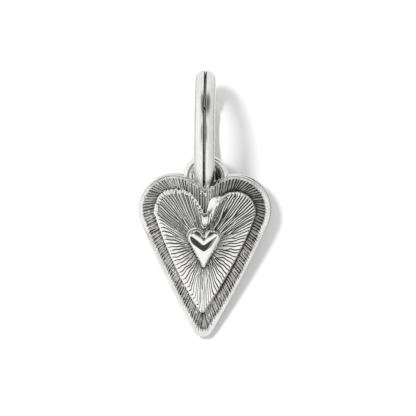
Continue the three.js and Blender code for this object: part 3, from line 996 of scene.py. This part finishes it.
def bevel_row(step):
    """Places and stain of one row up the bevel, which the rays break into."""
    angle = step / BEVEL_STEPS * math.pi / 2
    drawn = BEVEL_ROUND * (1 - math.cos(angle)) + BEVEL_FLAT * step / BEVEL_STEPS
    drawn = drawn + raggedness * edge_cut * math.cos(angle)
    fall = BEVEL_ROUND * (1 - math.sin(angle)) + BEVEL_FLAT * (1 - step / BEVEL_STEPS)
    depth = tier_edge + bevel_rise * fall + RAY_DEPTH * edge_cut * math.sin(angle)
    points = (tier_x + (edge_x - tier_x) * drawn, tier_z + (edge_z - tier_z) * drawn)
    return laid(points, depth), edge_cut * smooth_step(2 * math.sin(angle) - bevel_polish_and_highlight)


def ray_row(along, z, cuts, stains):
    """Depth and stain of one row of the swelling top, darker round the centre heart."""
    depth = tier_edge + (seat_depth - tier_edge) * math.sin(along * math.pi / 2) + RAY_DEPTH * cuts
    beside = between(z, SIDE_LOW, SIDE_SOFT, SIDE_HIGH, SIDE_SOFT)
    # The centre heart's foot gets oxide and a painted contact shadow; beside the centre heart, at its
    # height, the top is greyer.
    darker_round_centre = SEAT_OXIDE_AND_SHADOW * beyond(along, SEAT_FROM, SEAT_SPAN)
    darker_round_centre = darker_round_centre + SIDE_DARKER * beyond(along, SIDE_FROM, SIDE_SPAN) * beside
    return depth, np.clip(stains * (1 - SIDE_PALER * beside) + darker_round_centre, 0, 1)


print("the inner heart swells by", round(tier_edge - seat_depth, 2), "mm")

# %% Inner heart mesh
bm = bmesh.new()
loop = start_loop(bm, laid((tier_x, tier_z), tier_back))
close_loop(bm, loop)
for step in range(BEVEL_STEPS):
    loop = next_loop(bm, loop, *bevel_row(step))
for along, places, cuts, stains in zip(ray_rows, ray_loops, ray_cuts, ray_stains):
    places[:, 1], stain = ray_row(along, places[:, 2], cuts, stains)
    loop = next_loop(bm, loop, places, stain)
close_loop(bm, loop)
to_piece(bm, "rayed_heart", "heart", "inner_heart", ray_silver)

# %% [markdown]
# ## The puffed heart
# The heart at the centre is smooth and plump. Its top is a vault: cut upright at any place it is a flat
# arch, and the crests of these arches lie on a V. That V is where the silver mirrors the dark gap in front
# of it. A shallow valley runs down from the notch. Towards the outline the vault rolls over into a round
# edge, so its height is multiplied by a quarter round of the distance to the outline. A subdivided box
# would be quicker, but the dark shape it mirrors would not be a V.

# %% Puffed surface
PUFF_EDGE = 0.34
VAULT_BEND = 0.37
LEFT_BEND = 0.14
RIGHT_BEND = 0.24
CREASE = 0.12
CREST_FOOT = 10.9
CREST_RISE = 0.72
VALLEY = 0.02
VALLEY_HALF = 0.42
VALLEY_RISE = 0.5
OUTLINE_SAMPLES = 700
dome = centre_back - centre_top
half_x, half_z = heart_points(centre_heart, np.linspace(0.0, 0.5, OUTLINE_SAMPLES))


def puff_depth(x, z):
    """Bench depth of the puffed surface over points of the plan."""
    crest = CREST_FOOT + CREST_RISE * (np.hypot(x, CREASE) - CREASE)
    side_bend = np.where(x > 0, RIGHT_BEND, LEFT_BEND)
    vault = dome - VAULT_BEND / 2 * (z - crest) ** 2 - side_bend / 2 * x ** 2
    vault = vault - VALLEY * np.exp(-((x / VALLEY_HALF) ** 2)) * smooth_step(z - CREST_FOOT - VALLEY_RISE)
    to_edge = np.hypot(np.abs(x)[:, None] - half_x, z[:, None] - half_z).min(axis=1)
    roll = 1 - np.clip(to_edge / PUFF_EDGE, 0, 1)
    return -vault * np.sqrt(1 - roll ** 2)


print("the puffed heart stands", round(dome, 2), "mm high")

# %% Puffed heart mesh
PUFF_COLUMNS = 360
PUFF_ROWS = 48
ROWS_TO_EDGE = 1.6
MIDDLE_DROP = 0.9
rim_x, rim_z = heart_points(centre_heart, np.arange(PUFF_COLUMNS) / PUFF_COLUMNS)
middle_z = centre_heart.lobe_z - MIDDLE_DROP
bm = bmesh.new()
loop = start_loop(bm, laid((rim_x, rim_z), 0.0))
close_loop(bm, loop)
for row in range(1, PUFF_ROWS):
    drawn = (row / PUFF_ROWS) ** ROWS_TO_EDGE
    x = rim_x * (1 - drawn)
    z = rim_z + (middle_z - rim_z) * drawn
    loop = next_loop(bm, loop, laid((x, z), puff_depth(x, z)))
close_loop(bm, loop)
bmesh.ops.translate(bm, vec=(0, centre_back, 0), verts=bm.verts)
to_piece(bm, "puffed_heart", "heart", "centre_heart", puff_silver)

# %% [markdown]
# ## The loop
# A short arch of oval wire stands over the notch, a hair to the right, and is soldered to both lobes. Its
# inner side is painted dark as shade, faintly on the left and most on the right, where a dark blob of
# painted shade fills the gap beside the ring. A curve with a bevel would make the arch, but not its stouter
# feet. Half of it is enough: an oval is extruded up one leg and round to the top, and mirrored.

# %% Loop measures
BAND_FOOT = 1.22
BAND_TOP = 1.08
LOOP_SIDES = 48
LEG_SINK = 0.4
INNER_STEEP, INNER_FROM = 1.8, 0.9
loop_low, loop_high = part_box("bail_loop")
loop_depth = (loop_high.y - loop_low.y) / MM
loop_outside = loop_high.x / MM
loop_y = ((loop_low.y + loop_high.y) / 2 - bench_place.y) / MM
loop_z = (loop_high.z - bench_place.z) / MM - loop_outside
oval = np.arange(LOOP_SIDES) / LOOP_SIDES * math.tau
# Painted shade on the loop's inner side.
inner_shade = np.clip(-INNER_STEEP * np.cos(oval) - INNER_FROM, 0, 1)
foot_x = loop_outside - BAND_FOOT / 2
lobe_top = body_heart.lobe_z + math.sqrt(body_heart.lobe_radius ** 2 - (body_heart.lobe_x - foot_x) ** 2)
leg = loop_z - lobe_top + LEG_SINK


def wire_section(angle, drop, spread):
    """The oval of the arch at an angle from its right foot, or at a drop below it."""
    band = BAND_FOOT + (BAND_TOP - BAND_FOOT) * smooth_step(angle / (math.pi / 2))
    out = loop_outside - band / 2 + spread * band / 2 * np.cos(oval)
    y = loop_y + spread * loop_depth / 2 * np.sin(oval)
    return np.stack([out * math.cos(angle), y, loop_z + out * math.sin(angle) - drop], axis=1)


print("the loop's legs are", round(leg, 2), "mm long")

# %% Loop mesh
FOOT_SPREAD = 1.2
LEG_STEPS = ((0.55, 1.12), (0.3, 1.05), (0.0, 1.0))
LOOP_STEPS = 26
MERGE = 0.002
LEFT_SHADE_SHARE = 0.05
RIGHT_SHADE_SHARE = 0.6
LOOP_SHIFT = 0.15
bm = bmesh.new()
loop = start_loop(bm, wire_section(0.0, leg, FOOT_SPREAD))
close_loop(bm, loop)
for share, spread in LEG_STEPS:
    loop = next_loop(bm, loop, wire_section(0.0, leg * share, spread), inner_shade)
for step in range(1, LOOP_STEPS + 1):
    loop = next_loop(bm, loop, wire_section(step / LOOP_STEPS * math.pi / 2, 0.0, 1.0), inner_shade)
bmesh.ops.mirror(bm, geom=bm.verts[:] + bm.edges[:] + bm.faces[:], axis="X", merge_dist=MERGE)
bmesh.ops.remove_doubles(bm, verts=bm.verts, dist=MERGE)
cut = bm.verts.layers.float["cut"]
# The painted shade inside is faint on the left and stronger on the right.
for vert in bm.verts:
    vert[cut] *= LEFT_SHADE_SHARE if vert.co.x < 0 else RIGHT_SHADE_SHARE
bmesh.ops.translate(bm, vec=(LOOP_SHIFT, 0, 0), verts=bm.verts)
print("the arch has", len(bm.verts), "vertices")

# %% Dark blob of painted shade
RUN_X, RUN_BACK, RUN_UP = 1.6, 0.1, 0.05
RUN_HALF = (0.38, 0.45, 1.4)
run_middle = Matrix.Translation((RUN_X, loop_y + RUN_BACK, loop_z + RUN_UP))
run_place = run_middle @ Matrix.Diagonal((*RUN_HALF, 1.0))
shade_blob = bmesh.ops.create_uvsphere(bm, u_segments=32, v_segments=24, radius=1.0, matrix=run_place)
# The whole blob is dark: painted shade in the gap beside the ring.
for vert in shade_blob["verts"]:
    vert[cut] = 1.0
to_piece(bm, "soldered_loop", "heart", "bail_loop", loop_silver)

# %% [markdown]
# ## The split ring
# The ring is one half-round wire wound twice, so from outside it looks like a band with a slit, and at the
# back of the top the slit steps over from one side of the wire to the other. A spin would give two closed
# hoops. So the wire's section is a loop that rides round for two turns. Where the wire crosses over, its
# two sides move from the left half of the band to the right half, and the ends are cut along that slant.

# %% Ring measures
RING_RADIUS = 7.0
RING_INSIDE = 5.8
RING_HALF = 1.2
SIDE_WALL = 0.2
SLIT = 0.05
CROSS_AT = math.radians(65)
CROSS_HALF = math.radians(17)
ring_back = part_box("split_ring")[BACK].y
ring_place = Vector(frame["joints"][0]["pos_m"])


def band_radius(x):
    """Outside radius of the half-round band at a distance from its middle."""
    bulge = np.sqrt(np.clip(1 - (x / RING_HALF) ** 2, 0, 1))
    return RING_INSIDE + SIDE_WALL + (RING_RADIUS - RING_INSIDE - SIDE_WALL) * bulge


def crossing(turned):
    """Left and right side of a wire that crosses the band at the end of its first turn."""
    share = smooth_step((turned - math.tau + CROSS_HALF) / (2 * CROSS_HALF))
    return -RING_HALF + (RING_HALF + SLIT / 2) * share, -SLIT / 2 + (RING_HALF + SLIT / 2) * share


def wire_sides(turned):
    """The wire's two sides, with both ends cut along the crossing."""
    left, right = crossing(turned)
    if turned < math.tau - CROSS_HALF:
        right = min(right, crossing(turned + math.tau)[0] - SLIT)
    if turned > math.tau + CROSS_HALF:
        left = max(left, crossing(turned - math.tau)[1] + SLIT)
    return left, right


print("the wire is", round(crossing(0.0)[1] - crossing(0.0)[0], 2), "mm wide")

# %% Wire section
CORNER = 0.23
CORNER_FOOT = 0.74
INNER_SHARE = np.array([1.0, 0.99, 0.965, 0.92, 0.86, 0.8])
INNER_LIFT = np.array([0.4, 0.25, 0.13, 0.05, 0.01, 0.0])
INSIDE_BELOW = 0.3
SLIT_FROM, SLIT_SPAN = 0.99, 0.08
CORNER_POINTS, CROWN_POINTS = 9, 13
corner_angle = np.linspace(0, math.pi / 2, CORNER_POINTS)
corner_share = CORNER * (1 - np.cos(corner_angle))
corner_lift = CORNER_FOOT + (1 - CORNER_FOOT) * np.sin(corner_angle)
crown = np.linspace(CORNER, 1 - CORNER, CROWN_POINTS)[1:-1]
outer_share = [corner_share, crown, 1 - corner_share[::-1]]
outer_lift = [corner_lift, np.ones(len(crown)), corner_lift[::-1]]
section_share = np.concatenate([*outer_share, INNER_SHARE, 1 - INNER_SHARE[::-1]])
section_lift = np.concatenate([*outer_lift, INNER_LIFT, INNER_LIFT[::-1]])
# The slit's walls are painted near black: painted shade in the narrow gap.
slit_shade = np.clip((SLIT_FROM - section_lift) / SLIT_SPAN, 0, 1) * (section_lift > INSIDE_BELOW)
inside_matt = np.where(section_lift < INSIDE_BELOW, 1.0, 0.0)
print("the wire's section has", len(section_share), "points")

# %% [markdown]
# ## Painted shade on the ring
# Where the ring passes through the loop, its right side is darkened with painted shade. A noise texture
# would darken it anywhere. So the shade is worked out from the place on the band, and it goes into the
# same `cut` layer as the dark slit.

# %% Ring mesh
LOOP_SHADE_FROM, LOOP_SHADE_MOST, LOOP_SHADE_END = math.radians(20), math.radians(75), math.radians(125)
LOOP_SHADE_WIDTH = 0.85
LOOP_SHADE_SOFT = 0.5
LOOP_SHADE_STRENGTH = 0.65
LOOP_SHADE_FADE = 0.3
RING_FRONT = 1.5 * math.pi
BAND_SHARE = 0.9
END_REACH = math.radians(9)
RING_STEPS = 168


def loop_shade(x, angle):
    """Painted shade on the right side of the band, where it passes through the loop."""
    below = (RING_FRONT - angle) % math.tau
    border = RING_HALF - LOOP_SHADE_WIDTH * beyond(below, LOOP_SHADE_FROM, LOOP_SHADE_MOST - LOOP_SHADE_FROM)
    return LOOP_SHADE_STRENGTH * beyond(x, border, LOOP_SHADE_SOFT) * up_to(below, LOOP_SHADE_END, LOOP_SHADE_FADE)


def wire_places(turned):
    """Bench places, painted shade and matt of the section after the wire has gone this far round."""
    left, right = wire_sides(turned)
    x = left + (right - left) * section_share
    radius = RING_INSIDE + (band_radius(x) - RING_INSIDE) * section_lift
    angle = CROSS_AT + turned
    places = np.stack([x, radius * math.sin(angle), radius * math.cos(angle)], axis=1)
    stain = np.maximum(slit_shade * (np.abs(x) < BAND_SHARE * RING_HALF), loop_shade(x, angle))
    return places, stain, inside_matt


bm = bmesh.new()
way_round = np.linspace(-END_REACH, 2 * math.tau + END_REACH, 2 * RING_STEPS)
loop = start_loop(bm, wire_places(way_round[0])[0])
close_loop(bm, loop)
for turned in way_round[1:]:
    loop = next_loop(bm, loop, *wire_places(turned))
close_loop(bm, loop)
to_piece(bm, "slit_ring", "ring", "split_ring", ring_silver, ring_place)

# %% [markdown]
# ## The camera
# The photograph was taken from straight above with a long lens. The charm lay on the ring's back edge and
# the heart's tip, so the heart was tipped by about ten degrees, seen a little from its top. The frame was
# 416 pixels wide, and the tip of the heart lay a known number of pixels from its middle. So the camera is
# aimed from the tip, which holds the charm in place when the angles are tried out.

# %% Camera
FRAME_PIXELS = 416
PIXEL = 0.12 * MM
TIP_PIXEL = (203.0, 337.0)
AZIMUTH = math.radians(0.6)
ELEVATION = math.radians(10.5)
ROLL = math.radians(0.6)
DISTANCE = 0.42
SENSOR = 36.0
level = math.cos(ELEVATION)
towards_camera = Vector((math.sin(AZIMUTH) * level, -math.cos(AZIMUTH) * level, math.sin(ELEVATION)))
camera_turn = (-towards_camera).to_track_quat("-Z", "Y") @ Quaternion((0, 0, 1), ROLL)
right, up = camera_turn @ Vector((1, 0, 0)), camera_turn @ Vector((0, 1, 0))
target = bench_place + right * (FRAME_PIXELS / 2 - TIP_PIXEL[0]) * PIXEL
target = target + up * (TIP_PIXEL[1] - FRAME_PIXELS / 2) * PIXEL
lens = bpy.data.cameras.new("long_lens")
lens.sensor_width = SENSOR
lens.lens = SENSOR * DISTANCE / (FRAME_PIXELS * PIXEL)
camera = bpy.data.objects.new("camera", lens)
camera.location = target + towards_camera * DISTANCE
camera.rotation_mode = "QUATERNION"
camera.rotation_quaternion = camera_turn
bpy.context.scene.collection.objects.link(camera)
bpy.context.scene.camera = camera
print("camera lens in mm:", round(lens.lens, 1))

# %% [markdown]
# ## The paper and the floor
# A sheet of paper touches the ring's back edge and the tip of the heart and takes their soft shadow. Its
# colour is a mid grey under a strong light, which just shows as white and leaves the shadow visible. It is
# only there for the camera in front of it: from behind it is clear, and the silver doesn't mirror it.
# Below the charm lies a plain pale floor for the other views.

# %% Paper finish
FIBRES_PER_METRE = 900.0
PAPER_DARK = (0.40, 0.40, 0.40, 1.0)
PAPER_LIGHT = (0.41, 0.41, 0.41, 1.0)
paper_finish, paper_tree, default_shader = new_material("white_paper")
fibre = add_node(paper_tree, "ShaderNodeTexNoise", Scale=FIBRES_PER_METRE, Detail=3.0)
tone = mix_colours(paper_tree, fibre.outputs["Fac"], PAPER_DARK, PAPER_LIGHT)
sheet_front = add_node(paper_tree, "ShaderNodeBsdfDiffuse", Color=tone)
sheet_back = add_node(paper_tree, "ShaderNodeBsdfTransparent")
side = add_node(paper_tree, "ShaderNodeNewGeometry")
one_sided = add_node(
    paper_tree, "ShaderNodeMixShader",
    i0=side.outputs["Backfacing"], i1=sheet_front.outputs[0], i2=sheet_back.outputs[0],
)
paper_tree.links.new(one_sided.outputs[0], paper_tree.nodes["Material Output"].inputs["Surface"])
paper_tree.nodes.remove(default_shader)
print("paper nodes:", len(paper_tree.nodes))

# %% Paper and floor
PAPER_HALF = 0.25
PAPER_GAP = 0.0003
FLOOR_HALF = 0.07
FLOOR_DROP = 0.016


def pale_sheet(name, size):
    """A flat square sheet of the stage, facing up, that the silver doesn't mirror."""
    sheet_mesh = bmesh.new()
    bmesh.ops.create_grid(sheet_mesh, x_segments=1, y_segments=1, size=size)
    sheet = to_object(sheet_mesh, name, paper_finish)
    sheet.visible_glossy = False
    return sheet


paper = pale_sheet("paper", PAPER_HALF)
paper.location = Vector((0.0, ring_back, ring_place.z)) - towards_camera * PAPER_GAP
paper.rotation_mode = "QUATERNION"
paper.rotation_quaternion = Vector((0, -level, math.sin(ELEVATION))).to_track_quat("Z", "Y")
paper.visible_diffuse = False
paper.visible_shadow = False
floor = pale_sheet("floor", FLOOR_HALF)
floor.location = (0.0, 0.0, cad_box[0].z - FLOOR_DROP)
print("paper stands at y", round(paper.location.y / MM, 2), "mm")
print("floor lies at z", round(floor.location.z / MM, 2), "mm")

# %% [markdown]
# ## Light
# A mirror shows its surroundings, so silver is lit by shapes more than by lamps. To the camera the world is
# plain white. To reflections it is a white tent with two dark gaps in front, one at the height of the lens
# and one overhead, and it is dimmer on the right and behind. To the paper it is a strong even fill. One
# lamp from the upper left draws the soft shadow on the paper, and the silver doesn't mirror it.

# %% World helpers
FRONT_SOFT = 0.1
world = bpy.data.worlds.new("white_tent")
bpy.context.scene.world = world
world.use_nodes = True
sky = world.node_tree
direction = add_node(sky, "ShaderNodeTexCoord").outputs["Generated"]
parts = add_node(sky, "ShaderNodeSeparateXYZ", Vector=direction)
across, backwards, upwards = (parts.outputs[axis] for axis in "XYZ")
in_front = ramp(sky, backwards, -FRONT_SOFT, FRONT_SOFT, 1.0, 0.0)


def window(value, low, high, low_soft, high_soft):
    """1 between two values, easing to 0 outside them."""
    opens = ramp(sky, value, low - low_soft, low, curve="SMOOTHSTEP")
    shuts = ramp(sky, value, high, high + high_soft, 1.0, 0.0, "SMOOTHSTEP")
    return multiply(sky, opens, shuts)


def dimmed(light, height, width, drop):
    """The light with a gap in the front of the tent, where it drops by a share."""
    ahead = multiply(sky, multiply(sky, height, width), in_front)
    return multiply(sky, light, multiply_add(sky, ahead, -drop, 1.0))


print("the world starts with", len(sky.nodes), "nodes")

# %% World
WORLD_FILL = 2.1
RIGHT_LIGHT, RIGHT_FROM, RIGHT_FULL = 0.72, 0.3, 0.95
BACK_LIGHT, BACK_FROM, BACK_FULL = 0.84, -0.05, 0.6
at_lens = window(upwards, low=-0.22, high=0.28, low_soft=0.08, high_soft=0.1)
overhead = window(upwards, low=0.66, high=0.94, low_soft=0.16, high_soft=0.06)
lens_gap = window(across, low=-0.28, high=0.14, low_soft=0.45, high_soft=0.08)
beside_gap = window(across, low=0.16, high=0.34, low_soft=0.06, high_soft=0.12)
overhead_gap = window(across, low=-0.42, high=0.62, low_soft=0.25, high_soft=0.25)
tent = dimmed(1.0, at_lens, lens_gap, drop=0.95)
tent = dimmed(tent, at_lens, beside_gap, drop=0.75)
tent = dimmed(tent, overhead, overhead_gap, drop=0.95)
tent = multiply(sky, tent, ramp(sky, across, RIGHT_FROM, RIGHT_FULL, 1.0, RIGHT_LIGHT, "SMOOTHSTEP"))
tent = multiply(sky, tent, ramp(sky, backwards, BACK_FROM, BACK_FULL, 1.0, BACK_LIGHT, "SMOOTHSTEP"))
light_path = add_node(sky, "ShaderNodeLightPath")
lit = mix_colours(sky, light_path.outputs["Is Glossy Ray"], (WORLD_FILL, WORLD_FILL, WORLD_FILL, 1.0), tent)
seen = mix_colours(sky, light_path.outputs["Is Camera Ray"], lit, (1.0, 1.0, 1.0, 1.0))
sky.links.new(seen, sky.nodes["Background"].inputs["Color"])
print("world nodes:", len(sky.nodes))

# %% Lamp
LAMP_WAY = Vector((-0.38, -1.0, 0.48)).normalized()
LAMP_DISTANCE = 0.38
LAMP_SIZE = 0.075
LAMP_POWER = 1.9
lamp_data = bpy.data.lights.new("window", "AREA")
lamp_data.shape = "DISK"
lamp_data.size = LAMP_SIZE
lamp_data.energy = LAMP_POWER
lamp = bpy.data.objects.new("window", lamp_data)
lamp.location = target + LAMP_WAY * LAMP_DISTANCE
lamp.rotation_mode = "QUATERNION"
lamp.rotation_quaternion = (-LAMP_WAY).to_track_quat("-Z", "Y")
lamp.visible_glossy = False
bpy.context.scene.collection.objects.link(lamp)
print("lamp power in W:", round(lamp_data.energy, 2))

# %% [markdown]
# ## Finish
# The display transform is Standard, so a colour shows as it is written.

# %% Finish
bpy.context.scene.view_settings.view_transform = "Standard"
